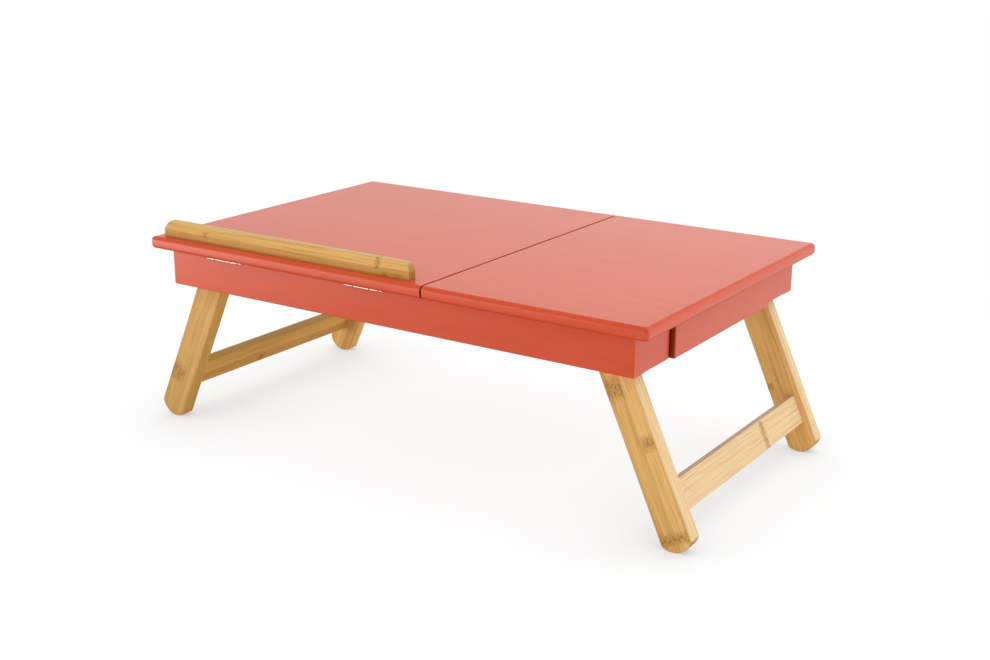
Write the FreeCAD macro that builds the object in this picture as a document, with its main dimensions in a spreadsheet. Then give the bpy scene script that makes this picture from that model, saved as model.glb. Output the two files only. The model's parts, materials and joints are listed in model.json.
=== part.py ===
import FreeCAD, Part
import os
import re
import Sketcher

# A folding bed table for a laptop: a painted box frame with a fixed and a tilting top panel,
# a shallow drawer in its right end and two bamboo leg frames that fold up into the box.
# X runs along the table to the drawer end, -Y is the front, where the top is hinged, Z is up.
# The origin is on the floor under the middle of the table.

sizes = {
    # top panels
    "top_length": 550,
    "top_depth": 350,
    "table_height": 200,
    "panel_thickness": 12,
    "panel_round": 4,
    "panel_corner": 2.5,
    "seam_gap": 1.6,
    "end_overhang": 17.5,
    "side_overhang": 12,
    # frame boards
    "long_board": 18,
    "end_board": 13,
    "end_block_length": 62,
    "board_ease": 1.2,
    "room_over_legs": 5.5,
    "centre_rail_width": 24,
    "ledger_width": 12,
    "ledger_height": 10,
    # leg frames
    "leg_width": 30,
    "leg_thickness": 14.5,
    "leg_splay": 24.5,
    "leg_ease": 0.9,
    "foot_round": 18,
    "foot_corner": 4,
    "fold_clear": 0.5,
    "stop_gap": 0.4,
    "stretcher_place": 125.5,
    "stretcher_width": 28,
    "stretcher_thickness": 10,
    "stretcher_inset": 5.6,
    "pass_clear": 0.9,
    # leg pivots
    "bolt_radius": 3,
    "bolt_depth": 10,
    "bolt_head_radius": 6.5,
    "bolt_head_height": 4,
    "bolt_head_gap": 0.1,
    "bolt_socket": 2.3,
    "bolt_socket_depth": 2.2,
    "pivot_clear": 0.05,
    "insert_radius": 4.5,
    "insert_length": 12,
    "washer_thickness": 1.5,
    "washer_radius": 9,
    "washer_clear": 0.2,
    # wooden dowels
    "dowel_radius": 3,
    "dowel_length": 24,
    "dowel_depth": 10,
    "rail_dowel_depth": 6,
    "panel_dowel_rise": 6,
    "stretcher_dowel_radius": 2.5,
    "drawer_dowel_radius": 2,
    "drawer_dowel_length": 14,
    "drawer_dowel_depth": 5,
    # screws
    "screw_radius": 1.5,
    "screw_head_radius": 3,
    "screw_head_depth": 2,
    "screw_bite": 8,
    "leaf_screw_radius": 1.2,
    "leaf_screw_head": 2.4,
    "leaf_screw_head_depth": 1.3,
    # butt hinges
    "hinge_length": 38,
    "barrel_radius": 1.4,
    "barrel_gap": 1,
    "knuckle_gap": 0.2,
    "leaf_width": 15,
    "leaf_thickness": 1,
    "leaf_clear": 0.1,
    "pin_radius": 0.7,
    "pin_clear": 0.05,
    "pin_tail": 4.5,
    "tilt_limit": 35,
    # stop rail on the tilting panel
    "rail_place": 11,
    "rail_seam_gap": 17.6,
    "rail_setback": 9,
    "rail_depth": 9.5,
    "rail_height": 15.6,
    "rail_face": 7,
    "rail_bevel": 3,
    "rail_end_face": 7.5,
    "rail_end_slope": 5,
    "rail_ease": 1,
    "rail_screw_bite": 12,
    # prop under the tilting panel
    "prop_drop": 5.5,
    "arm_width": 10,
    "arm_thickness": 8,
    "foot_radius": 5,
    "tenon_radius": 2.5,
    "foot_clear": 2.4,
    "glide_clear": 0.35,
    "prop_rod_radius": 2.5,
    "prop_rod_end": 1.5,
    "bracket_width": 14,
    "bracket_length": 24,
    "bracket_height": 10.5,
    "bracket_gap": 0.5,
    "bracket_ease": 3,
    "rack_land": 8,
    "rack_lip": 2,
    # drawer and what it runs on
    "drawer_gap": 3.5,
    "drawer_proud": 4,
    "drawer_front": 13,
    "drawer_lip": 5.5,
    "drawer_wall": 8,
    "drawer_rise": 4,
    "drawer_head_gap": 3,
    "front_head_gap": 1,
    "drawer_floor": 4,
    "drawer_floor_rise": 3,
    "floor_groove": 3,
    "drawer_side_gap": 1,
    "drawer_stretcher_gap": 5,
    "guide_thickness": 15,
    "runner_height": 6,
    "runner_reach": 4.6,
    "runner_seat": 2,
    "runner_clear": 0.2,
    "runner_stop": 0.3,
    "runner_front_gap": 12,
    # overrun of every cut past the face that it leaves through
    "overrun": 1,
    # how near to its place an edge lies that is picked to be rounded
    "pick_slack": 0.05,
}

# Places along a piece, as shares of its own size.
seam_share = 0.0989
hinge_shares = (0.265, 0.782)
prop_span_share = 0.487
pair_shares = (0.28, 0.72)
panel_dowel_shares = (0.2, 0.5, 0.8)
rail_screw_shares = (0.06, 0.5, 0.94)
tilt_stop_shares = (0.54, 0.8, 1)
knuckle_share = 0.25
leaf_screw_share = 0.3
bite_share = 0.75
notch_depth_share = 0.5
notch_back_share = 0.9
notch_floor_share = 0.2
notch_slope_share = 1.1

# Sizes and places worked out from the sheet.
derived = {
    "half_length": "top_length / 2",
    "half_depth": "top_depth / 2",
    "under_top": "table_height - panel_thickness",
    "apron_height": "leg_width + fold_clear + room_over_legs",
    "apron_bottom": "under_top - apron_height",
    "half_frame_length": "half_length - end_overhang",
    "half_frame_depth": "half_depth - side_overhang",
    "end_inner": "half_frame_length - end_board",
    "board_inner": "half_frame_depth - long_board",
    "board_middle": "half_frame_depth - long_board / 2",
    "block_inner": "half_frame_depth - end_block_length",
    "left_edge": f"top_length * {seam_share} - seam_gap / 2",
    "right_edge": f"top_length * {seam_share} + seam_gap / 2",
    "tilting_length": "left_edge + half_length",
    "leg_outer": "board_inner - washer_thickness",
    "leg_inner": "leg_outer - leg_thickness",
    "pivot_z": "apron_bottom + fold_clear + leg_width / 2",
    "pivot_x": "end_inner - stop_gap - leg_width / (2 * cos(leg_splay))"
               " - (pivot_z - apron_bottom) * tan(leg_splay)",
    "foot_centre": "(pivot_z - foot_round) / cos(leg_splay)",
    "stretcher_end": "stretcher_place + stretcher_width",
    "stretcher_middle": "leg_width / 2 - stretcher_inset - stretcher_thickness / 2",
    "stretcher_back": "leg_width / 2 - stretcher_inset - stretcher_thickness",
    "bay_floor": "apron_bottom + fold_clear + stretcher_inset + stretcher_thickness + pass_clear",
    "hinge_y": "-(half_frame_depth + barrel_radius + barrel_gap)",
    "hinge_z": "under_top - barrel_radius - barrel_gap",
    "leaf_top": "hinge_z + barrel_radius",
    "leaf_back": "-(half_frame_depth - leaf_width)",
    "leaf_middle": "-(half_frame_depth - leaf_width / 2)",
    "prop_offset": "prop_drop - barrel_radius - barrel_gap",
    "prop_extra": "prop_offset * tan(tilt_limit / 2)",
    "prop_reach": "(leg_inner - hinge_y - foot_radius - foot_clear - prop_extra) / 2",
    "prop_arm": "prop_reach + prop_extra",
    "prop_y": "hinge_y + prop_reach",
    "prop_z": "under_top - prop_drop",
    "prop_x": "(left_edge - half_length) / 2",
    "prop_span": f"tilting_length * {prop_span_share}",
    "arm_inner": "prop_span / 2 - arm_width",
    "bracket_outer": "arm_inner - bracket_gap",
    "rack_top": "hinge_z - prop_offset / cos(tilt_limit / 2) - foot_radius - glide_clear",
    "notch_depth": f"(rack_top - bay_floor) * {notch_depth_share}",
    "rail_left": "rail_place - half_length",
    "rail_right": "left_edge - rail_seam_gap",
    "rail_length": "rail_right - rail_left",
    "rail_front": "rail_setback - half_depth",
    "rail_top": "table_height + rail_height",
    "drawer_half": "block_inner - drawer_gap",
    "front_outer": "half_frame_length + drawer_proud",
    "front_inner": "front_outer - drawer_front",
    "drawer_back": "pivot_x - stretcher_place + drawer_stretcher_gap",
    "side_outer": "drawer_half - drawer_lip",
    "side_inner": "side_outer - drawer_wall",
    "side_bottom": "apron_bottom + drawer_rise",
    "side_top": "under_top - drawer_head_gap",
    "floor_bottom": "side_bottom + drawer_floor_rise",
    "guide_inner": "side_outer + drawer_side_gap",
    "runner_z": "(bay_floor + under_top) / 2",
    "runner_end": "front_inner - runner_front_gap",
    "drawer_dowel_z": "(floor_bottom + drawer_floor + runner_z - runner_height / 2) / 2",
}

doc = FreeCAD.newDocument("laptop_table")
sheet = doc.addObject("Spreadsheet::Sheet", "sheet")
for row, (alias, size) in enumerate(sizes.items(), start=1):
    sheet.set(f"A{row}", alias)
    sheet.set(f"B{row}", str(size))
    sheet.setAlias(f"B{row}", alias)
doc.recompute()

words = re.compile(r"[a-z][a-z_]+")
right = FreeCAD.Vector(1, 0, 0)
back = FreeCAD.Vector(0, 1, 0)
turns = {
    "x": FreeCAD.Rotation(back, 90),
    "y": FreeCAD.Rotation(right, -90),
    "z": FreeCAD.Rotation(),
}
nodes = {}


def formula(text):
    """Writes a formula in the sheet's words as an expression on the sheet's cells."""
    def cell(word):
        name = word.group(0)
        if name in derived:
            return f"({formula(derived[name])})"
        return f"sheet.{name}" if name in sizes else name
    return words.sub(cell, str(text))


def number(text):
    return float(sheet.evalExpression(formula(text)))


def bind(thing, **formulas):
    for name, text in formulas.items():
        thing.setExpression(name.replace("__", "."), formula(text))


def place(thing, x, y, z):
    bind(thing, Placement__Base__x=x, Placement__Base__y=y, Placement__Base__z=z)


def node(label, thing):
    """Marks a finished object as one piece of the table."""
    thing.Label = label
    nodes[label] = thing
    return thing


def block(name, x, y, z):
    """A box between two places along each axis."""
    box = doc.addObject("Part::Box", name)
    bind(box, Length=f"({x[1]}) - ({x[0]})", Width=f"({y[1]}) - ({y[0]})", Height=f"({z[1]}) - ({z[0]})")
    place(box, x[0], y[0], z[0])
    return box


def rod(name, axis, radius, x, y, z):
    """A cylinder along an axis; on that axis its place is a pair, low and high."""
    cylinder = doc.addObject("Part::Cylinder", name)
    cylinder.Placement.Rotation = turns[axis]
    spans = {"x": x, "y": y, "z": z}
    low, high = spans[axis]
    spans[axis] = low
    bind(cylinder, Radius=radius, Height=f"({high}) - ({low})")
    place(cylinder, spans["x"], spans["y"], spans["z"])
    return cylinder


def screw(name, x, y, face, up, length, radius, head, head_depth):
    """A countersunk screw along Z whose head is flush with a face; up is 1 or -1."""
    cone = doc.addObject("Part::Cone", f"{name}_head")
    low, high = (head, radius) if up > 0 else (radius, head)
    bind(cone, Radius1=low, Radius2=high, Height=head_depth)
    place(cone, x, y, face if up > 0 else f"{face} - {head_depth}")
    ends = (f"{face} + {head_depth}", f"{face} + {length}")
    if up < 0:
        ends = (f"{face} - ({length})", f"{face} - {head_depth}")
    return join(name, cone, rod(f"{name}_shank", "z", radius, x, y, ends))


def wood_screw(name, x, y, face, up, length):
    return screw(name, x, y, face, up, length, "screw_radius", "screw_head_radius", "screw_head_depth")


def leaf_screw(name, x, face, up):
    length = f"panel_thickness * {bite_share}"
    return screw(name, x, "leaf_middle", face, up, length,
                 "leaf_screw_radius", "leaf_screw_head", "leaf_screw_head_depth")


def group(name, things):
    compound = doc.addObject("Part::Compound", name)
    compound.Links = things
    return compound


def join(name, *things):
    fuse = doc.addObject("Part::MultiFuse", name)
    fuse.Shapes = list(things)
    return fuse


def cut(name, base, *tools):
    result = doc.addObject("Part::Cut", name)
    result.Base = base
    result.Tool = tools[0] if len(tools) == 1 else join(f"{name}_tools", *tools)
    return result


def mirror(name, source, normal):
    copy = doc.addObject("Part::Mirroring", name)
    copy.Source = source
    copy.Normal = normal
    return copy


def ease(name, base, radius, chosen):
    """Rounds the edges of a plain solid that the test picks by their two ends."""
    doc.recompute()
    fillet = doc.addObject("Part::Fillet", name)
    fillet.Base = base
    width = number(radius)
    picked = []
    for index, edge in enumerate(base.Shape.Edges, start=1):
        ends = [vertex.Point for vertex in edge.Vertexes]
        if chosen(ends[0], ends[-1]):
            picked.append((index, width, width))
    fillet.Edges = picked
    return fillet


def both_at(axis, text):
    """A test that holds where both ends of an edge lie at one place along an axis."""
    limit = number(text)
    slack = number("pick_slack")

    def test(start, end):
        return abs(getattr(start, axis) - limit) < slack and abs(getattr(end, axis) - limit) < slack
    return test


def sketch_on(body, name, role):
    plane = next(feature for feature in body.Origin.OriginFeatures if feature.Role == role)
    sketch = body.newObject("Sketcher::SketchObject", name)
    sketch.AttachmentSupport = [(plane, "")]
    sketch.MapMode = "FlatFace"
    return sketch


def hold(sketch, kind, name, text, *where):
    """Adds a dimension to a sketch and binds it to the sheet."""
    index = sketch.addConstraint(Sketcher.Constraint(kind, *where, number(text)))
    sketch.renameConstraint(index, name)
    sketch.setExpression(f"Constraints.{name}", formula(text))


def pin_point(sketch, name, u, v, curve, end):
    hold(sketch, "DistanceX", f"{name}_u", u, -1, 1, curve, end)
    hold(sketch, "DistanceY", f"{name}_v", v, -1, 1, curve, end)


def close_loop(sketch, count):
    for curve in range(count):
        sketch.addConstraint(Sketcher.Constraint("Coincident", curve, 2, (curve + 1) % count, 1))


def circle(sketch, name, radius, u, v):
    centre = FreeCAD.Vector(number(u), number(v), 0)
    curve = sketch.addGeometry(Part.Circle(centre, FreeCAD.Vector(0, 0, 1), number(radius)))
    hold(sketch, "Radius", f"{name}_radius", radius, curve)
    pin_point(sketch, name, u, v, curve, 3)


def pad(body, sketch, depth):
    feature = body.newObject("PartDesign::Pad", f"{body.Name}_pad")
    feature.Profile = sketch
    bind(feature, Length=depth)
    body.Tip = feature
    doc.recompute()
    return feature


def round_edges(body, name, radius, chosen):
    base = body.Tip
    feature = body.newObject("PartDesign::Fillet", name)
    edges = enumerate(base.Shape.Edges, start=1)
    names = [f"Edge{index}" for index, edge in edges if chosen(edge.BoundBox)]
    feature.Base = (base, names)
    bind(feature, Radius=radius)
    body.Tip = feature
    doc.recompute()


def drawn(name, role, corners, depth):
    """A body padded from a closed outline of straight sides on one of its origin planes."""
    body = doc.addObject("PartDesign::Body", name)
    sketch = sketch_on(body, f"{name}_outline", role)
    points = [FreeCAD.Vector(number(u), number(v), 0) for u, v in corners]
    for start, end in zip(points, points[1:] + points[:1]):
        sketch.addGeometry(Part.LineSegment(start, end))
    close_loop(sketch, len(corners))
    for index, (u, v) in enumerate(corners):
        pin_point(sketch, f"corner{index}", u, v, index, 1)
    pad(body, sketch, depth)
    return body


# Dowels that join the boards of the frame.
def corner_dowels():
    dowels = []
    for end in (1, -1):
        for side in (1, -1):
            for share in pair_shares:
                reach = sorted((f"{side} * (board_inner + dowel_depth)",
                                f"{side} * (board_inner + dowel_depth - dowel_length)"), key=number)
                dowels.append(rod("corner_dowel", "y", "dowel_radius", f"{end} * (end_inner + end_board / 2)",
                                  reach, f"apron_bottom + apron_height * {share}"))
    return node("corner_dowels", group("corner_dowels", dowels))


def centre_rail_dowels():
    dowels = []
    for side in (1, -1):
        for share in pair_shares:
            reach = sorted((f"{side} * (board_inner + rail_dowel_depth)",
                            f"{side} * (board_inner + rail_dowel_depth - dowel_length)"), key=number)
            dowels.append(rod("rail_dowel", "y", "dowel_radius", f"centre_rail_width * ({share} - 1 / 2)",
                              reach, "(rack_top + under_top) / 2"))
    return node("centre_rail_dowels", group("centre_rail_dowels", dowels))


def fixed_panel_dowels():
    dowels = []
    for side in (1, -1):
        for share in panel_dowel_shares:
            dowels.append(rod("panel_dowel", "z", "dowel_radius",
                              f"right_edge + (half_length - right_edge) * {share}", f"{side} * board_middle",
                              ("under_top - dowel_depth", "under_top + panel_dowel_rise")))
    return node("fixed_panel_dowels", group("fixed_panel_dowels", dowels))


# Leg pivots: a bolt from the inner side of each leg into a blind insert in the long board.
def pivot_hardware():
    bolts = []
    inserts = []
    washers = []
    for end in (1, -1):
        x = f"{end} * pivot_x"
        head = ("-(leg_inner - bolt_head_gap)", "-(leg_inner - bolt_head_gap - bolt_head_height)")
        shank = ("-(board_inner + bolt_depth)", head[0])
        solid = join("bolt", rod("bolt_head", "y", "bolt_head_radius", x, head, "pivot_z"),
                     rod("bolt_shank", "y", "bolt_radius", x, shank, "pivot_z"))
        socket = doc.addObject("Part::Prism", "bolt_socket")
        socket.Placement.Rotation = turns["y"]
        bind(socket, Circumradius="bolt_socket", Height="bolt_socket_depth + overrun")
        place(socket, x, f"{head[1]} - bolt_socket_depth", "pivot_z")
        bolt = cut("pivot_bolt", solid, socket)
        tube = rod("insert_body", "y", "insert_radius", x,
                   ("-(board_inner + insert_length)", "-board_inner"), "pivot_z")
        ring = rod("washer_body", "y", "washer_radius", x, ("-board_inner", "-leg_outer"), "pivot_z")
        eye = rod("washer_eye", "y", "bolt_radius + washer_clear", x,
                  ("-board_inner - overrun", "-leg_outer + overrun"), "pivot_z")
        insert = cut("insert", tube, bolt)
        washer = cut("washer", ring, eye)
        for pieces, piece in ((bolts, bolt), (inserts, insert), (washers, washer)):
            pieces.append(piece)
            pieces.append(mirror(f"{piece.Name}_back", piece, back))
    node("leg_washers", group("leg_washers", washers))
    return (node("leg_pivot_bolts", group("leg_pivot_bolts", bolts)),
            node("threaded_inserts", group("threaded_inserts", inserts)))


# Butt hinges under the front edge of the tilting panel.
hinge_places = [f"(tilting_length * {share} - half_length)" for share in hinge_shares]
knuckle = f"hinge_length * {knuckle_share}"


def leaf_screws(label, face, up):
    screws = []
    for x in hinge_places:
        for side in (1, -1):
            middle = f"{x} + {side} * hinge_length * {leaf_screw_share}"
            screws.append(leaf_screw("leaf_screw", middle, face, up))
    return node(label, group(label, screws))


def fixed_leaf(label, x, screws):
    ends = (f"{x} - hinge_length / 2", f"{x} + hinge_length / 2")
    thick = ("leaf_top - leaf_thickness", "leaf_top")
    parts = [block("leaf_plate", ends, ("-half_frame_depth", "leaf_back"), thick)]
    for span in ((ends[0], f"{ends[0]} + {knuckle}"), (f"{ends[1]} - {knuckle}", ends[1])):
        parts.append(rod("leaf_knuckle", "x", "barrel_radius", span, "hinge_y", "hinge_z"))
        parts.append(block("leaf_tab", span, ("hinge_y", "-half_frame_depth"), thick))
    bore = rod("pin_bore", "x", "pin_radius + pin_clear", (f"{ends[0]} - overrun", f"{ends[1]} + overrun"),
               "hinge_y", "hinge_z")
    return node(label, cut(label, join("leaf_blank", *parts), bore, screws))


def moving_leaf(label, x, screws):
    ends = (f"{x} - hinge_length / 2", f"{x} + hinge_length / 2")
    span = (f"{ends[0]} + {knuckle} + knuckle_gap", f"{ends[1]} - {knuckle} - knuckle_gap")
    web = ("hinge_y + barrel_radius - leaf_thickness", "hinge_y + barrel_radius")
    plate = block("leaf_plate", ends, (web[0], "leaf_back"), ("under_top", "under_top + leaf_thickness"))
    flange = block("leaf_flange", span, web, ("hinge_z", "under_top"))
    barrel = rod("leaf_knuckle", "x", "barrel_radius", span, "hinge_y", "hinge_z")
    bore = rod("pin_bore", "x", "pin_radius + pin_clear", (f"{ends[0]} - overrun", f"{ends[1]} + overrun"),
               "hinge_y", "hinge_z")
    return node(label, cut(label, join("leaf_blank", plate, flange, barrel), bore, screws))


def hinge_pins():
    pins = []
    for x in hinge_places:
        span = (f"{x} - hinge_length / 2", f"{x} + hinge_length / 2 + pin_tail")
        pins.append(rod("hinge_pin", "x", "pin_radius", span, "hinge_y", "hinge_z"))
    return node("hinge_pins", group("hinge_pins", pins))


def leaf_recess(x, front, z):
    half = "(hinge_length / 2 + leaf_clear)"
    return block("leaf_recess", (f"{x} - {half}", f"{x} + {half}"), (front, "leaf_back + leaf_clear"), z)


# Boards of the frame.
def long_boards(screws, *fixings):
    plain = block("long_board", ("-half_frame_length", "half_frame_length"),
                  ("-half_frame_depth", "-board_inner"), ("apron_bottom", "under_top"))
    doc.recompute()
    face = both_at("y", "-half_frame_depth")
    tests = (both_at("z", "apron_bottom"), both_at("x", "-half_frame_length"),
             both_at("x", "half_frame_length"))
    eased = ease("long_board_eased", plain, "board_ease",
                 lambda a, b: face(a, b) and any(test(a, b) for test in tests))
    far = mirror("far_board_eased", eased, back)
    seat = ("leaf_top - leaf_thickness", "under_top + overrun")
    recesses = [leaf_recess(x, "-half_frame_depth - overrun", seat) for x in hinge_places]
    node("front_board", cut("front_board", eased, screws, *fixings, *recesses))
    node("back_board", cut("back_board", far, *fixings))


def end_boards(dowels):
    plain = block("end_board", ("-half_frame_length", "-end_inner"), ("-board_inner", "board_inner"),
                  ("apron_bottom", "under_top"))
    doc.recompute()
    outer = both_at("x", "-half_frame_length")
    low = both_at("z", "apron_bottom")
    eased = ease("end_board_eased", plain, "board_ease", lambda a, b: outer(a, b) and low(a, b))
    node("left_end_board", cut("left_end_board", eased, dowels))
    plain = block("end_block", ("end_inner", "half_frame_length"), ("-board_inner", "-block_inner"),
                  ("apron_bottom", "under_top"))
    doc.recompute()
    outer = both_at("x", "half_frame_length")
    tests = (low, both_at("y", "-block_inner"))
    eased = ease("end_block_eased", plain, "board_ease",
                 lambda a, b: outer(a, b) and any(test(a, b) for test in tests))
    front_block = node("right_front_end_block", cut("right_front_end_block", eased, dowels))
    node("right_back_end_block", mirror("right_back_end_block", front_block, back))


# Top panels: rounded along their outer edges and square along the seam between them.
def panel(name, low, high, seam):
    corners = ((low, "-half_depth"), (high, "-half_depth"), (high, "half_depth"), (low, "half_depth"))
    body = drawn(name, "XY_Plane", corners, "panel_thickness")
    slack = number("pick_slack")
    seam_x = number(seam)

    def outer(box):
        return abs(box.XMin - seam_x) > slack or box.XLength > slack

    round_edges(body, f"{name}_corners", "panel_corner", lambda box: box.ZLength > slack and outer(box))
    round_edges(body, f"{name}_edges", "panel_round", lambda box: box.ZLength < slack and outer(box))
    place(body, 0, 0, "under_top")
    return body


def guide_screws():
    screws = []
    for side in (1, -1):
        for share in pair_shares:
            screws.append(wood_screw("guide_screw", f"right_edge + (end_inner - right_edge) * {share}",
                                     f"{side} * (guide_inner + guide_thickness / 2)", "bay_floor", 1,
                                     "under_top - bay_floor + screw_bite"))
    return node("guide_screws", group("guide_screws", screws))


# Drawer guides, runners and the drawer itself.
def drawer_run(screws):
    height = ("runner_z - runner_height / 2", "runner_z + runner_height / 2")
    runner = node("front_drawer_runner", block(
        "front_drawer_runner", ("drawer_back", "runner_end"),
        ("-(guide_inner + runner_seat)", "-(guide_inner - runner_reach)"), height))
    node("back_drawer_runner", mirror("back_drawer_runner", runner, back))
    plain = block("guide_board", ("centre_rail_width / 2", "end_inner"),
                  ("-(guide_inner + guide_thickness)", "-guide_inner"), ("bay_floor", "under_top"))
    guide = node("front_drawer_guide", cut("front_drawer_guide", plain, runner, screws))
    node("back_drawer_guide", mirror("back_drawer_guide", guide, back))


def drawer_box():
    tall = ("side_bottom", "side_top")
    floor = node("drawer_floor_board", block("drawer_floor_board",
                 ("drawer_back + drawer_wall - floor_groove", "front_inner + floor_groove"),
                 ("-(side_inner + floor_groove)", "side_inner + floor_groove"),
                 ("floor_bottom", "floor_bottom + drawer_floor")))
    pegs = []
    for side in (1, -1):
        middle = f"{side} * (side_outer - drawer_wall / 2)"
        tip = "front_inner + drawer_dowel_depth"
        pegs.append(rod("front_peg", "x", "drawer_dowel_radius",
                        (f"{tip} - drawer_dowel_length", tip), middle, "drawer_dowel_z"))
        reach = sorted((f"{side} * (side_inner + drawer_dowel_depth)",
                        f"{side} * (side_inner + drawer_dowel_depth - drawer_dowel_length)"), key=number)
        pegs.append(rod("end_peg", "y", "drawer_dowel_radius",
                        "drawer_back + drawer_wall / 2", reach, "drawer_dowel_z"))
    dowels = node("drawer_dowels", group("drawer_dowels", pegs))
    plain = block("drawer_side", ("drawer_back", "front_inner"), ("-side_outer", "-side_inner"), tall)
    groove = block("runner_groove", ("drawer_back - overrun", "runner_end + runner_stop"),
                   ("-(side_outer + overrun)", "-(guide_inner - runner_reach - runner_clear)"),
                   ("runner_z - (runner_height / 2 + runner_clear)",
                    "runner_z + (runner_height / 2 + runner_clear)"))
    side = node("drawer_front_side", cut("drawer_front_side", plain, groove, floor, dowels))
    node("drawer_back_side", mirror("drawer_back_side", side, back))
    inner = block("drawer_end", ("drawer_back", "drawer_back + drawer_wall"),
                  ("-side_inner", "side_inner"), tall)
    node("drawer_inner_end", cut("drawer_inner_end", inner, floor, dowels))
    plain = block("drawer_face", ("front_inner", "front_outer"), ("-drawer_half", "drawer_half"),
                  ("apron_bottom", "under_top - front_head_gap"))
    doc.recompute()
    eased = ease("drawer_face_eased", plain, "board_ease", both_at("x", "front_outer"))
    node("drawer_front_panel", cut("drawer_front_panel", eased, floor, dowels))


# Leg frames: the right front leg is drawn, and the other three are its mirror images.
def on_leg(along, across):
    """Place on the right leg frame, from the pivot down the leg and outward across it."""
    return (f"pivot_x + ({along}) * sin(leg_splay) + ({across}) * cos(leg_splay)",
            f"pivot_z - ({along}) * cos(leg_splay) + ({across}) * sin(leg_splay)")


def leg_blank():
    body = doc.addObject("PartDesign::Body", "leg_blank")
    sketch = sketch_on(body, "leg_outline", "XZ_Plane")
    normal = FreeCAD.Vector(0, 0, 1)
    half = number("leg_width / 2")
    radius = number("foot_round")
    centre = number("foot_centre")
    drop = centre + (radius ** 2 - half ** 2) ** 0.5
    sketch.addGeometry(Part.LineSegment(FreeCAD.Vector(-half, 0, 0), FreeCAD.Vector(-half, -drop, 0)))
    sketch.addGeometry(Part.Arc(FreeCAD.Vector(-half, -drop, 0), FreeCAD.Vector(0, -centre - radius, 0),
                                FreeCAD.Vector(half, -drop, 0)))
    sketch.addGeometry(Part.LineSegment(FreeCAD.Vector(half, -drop, 0), FreeCAD.Vector(half, 0, 0)))
    sketch.addGeometry(Part.Arc(FreeCAD.Vector(half, 0, 0), FreeCAD.Vector(0, half, 0),
                                FreeCAD.Vector(-half, 0, 0)))
    for first, start, second, end in ((0, 2, 1, 1), (1, 2, 2, 1), (2, 2, 3, 1), (3, 2, 0, 1)):
        sketch.addConstraint(Sketcher.Constraint("Coincident", first, start, second, end))
    for line in (0, 2):
        sketch.addConstraint(Sketcher.Constraint("Vertical", line))
    pin_point(sketch, "inner_shoulder", "-leg_width / 2", 0, 0, 1)
    pin_point(sketch, "outer_shoulder", "leg_width / 2", 0, 2, 2)
    sketch.addConstraint(Sketcher.Constraint("PointOnObject", 3, 3, -1))
    sketch.addConstraint(Sketcher.Constraint("PointOnObject", 1, 3, -2))
    hold(sketch, "DistanceY", "foot_centre", "-foot_centre", -1, 1, 1, 3)
    hold(sketch, "Radius", "foot_round", "foot_round", 1)
    circle(sketch, "bore", "bolt_radius + pivot_clear", 0, 0)
    pad(body, sketch, "leg_thickness")
    bore = number("2 * (bolt_radius + pivot_clear) + pick_slack")
    slack = number("pick_slack")
    foot = number("-foot_centre")
    round_edges(body, "foot_corners", "foot_corner", lambda box: box.YLength > slack and box.ZMax < foot)
    round_edges(body, "leg_edges", "leg_ease",
                lambda box: box.YLength < slack and max(box.XLength, box.ZLength) > bore)
    body.Placement.Rotation = FreeCAD.Rotation(-back, number("leg_splay"))
    body.setExpression("Placement.Rotation.Angle", formula("leg_splay"))
    place(body, "pivot_x", "-leg_inner", "pivot_z")
    return body


def leg_frames():
    pegs = []
    for share in pair_shares:
        x, z = on_leg(f"stretcher_place + stretcher_width * {share}", "stretcher_middle")
        for side in (1, -1):
            reach = sorted((f"{side} * (leg_inner + dowel_depth)",
                            f"{side} * (leg_inner + dowel_depth - dowel_length)"), key=number)
            pegs.append(rod("stretcher_peg", "y", "stretcher_dowel_radius", x, reach, z))
    dowels = node("right_stretcher_dowels", group("right_stretcher_dowels", pegs))
    bar = doc.addObject("Part::Box", "stretcher_blank")
    bar.Placement.Rotation = FreeCAD.Rotation(-back, number("leg_splay"))
    bar.setExpression("Placement.Rotation.Angle", formula("leg_splay"))
    x, z = on_leg("stretcher_end", "stretcher_back")
    bind(bar, Length="stretcher_thickness", Width="2 * leg_inner", Height="stretcher_width")
    place(bar, x, "-leg_inner", z)
    eased = ease("stretcher_eased", bar, "leg_ease", lambda a, b: abs(a.y - b.y) > number("leg_inner"))
    stretcher = node("right_stretcher", cut("right_stretcher", eased, dowels))
    front_leg = node("right_front_leg", cut("right_front_leg", leg_blank(), dowels))
    back_leg = node("right_back_leg", mirror("right_back_leg", front_leg, back))
    for piece in (front_leg, back_leg, stretcher, dowels):
        label = piece.Label.replace("right", "left")
        node(label, mirror(label, piece, right))


# Bamboo stop rail along the front of the tilting panel.
def rail_screws():
    screws = []
    for share in rail_screw_shares:
        screws.append(wood_screw("rail_screw", f"rail_left + rail_length * {share}",
                                 "rail_front + rail_depth / 2", "under_top", 1,
                                 "panel_thickness + rail_screw_bite"))
    return node("stop_rail_screws", group("stop_rail_screws", screws))


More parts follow.
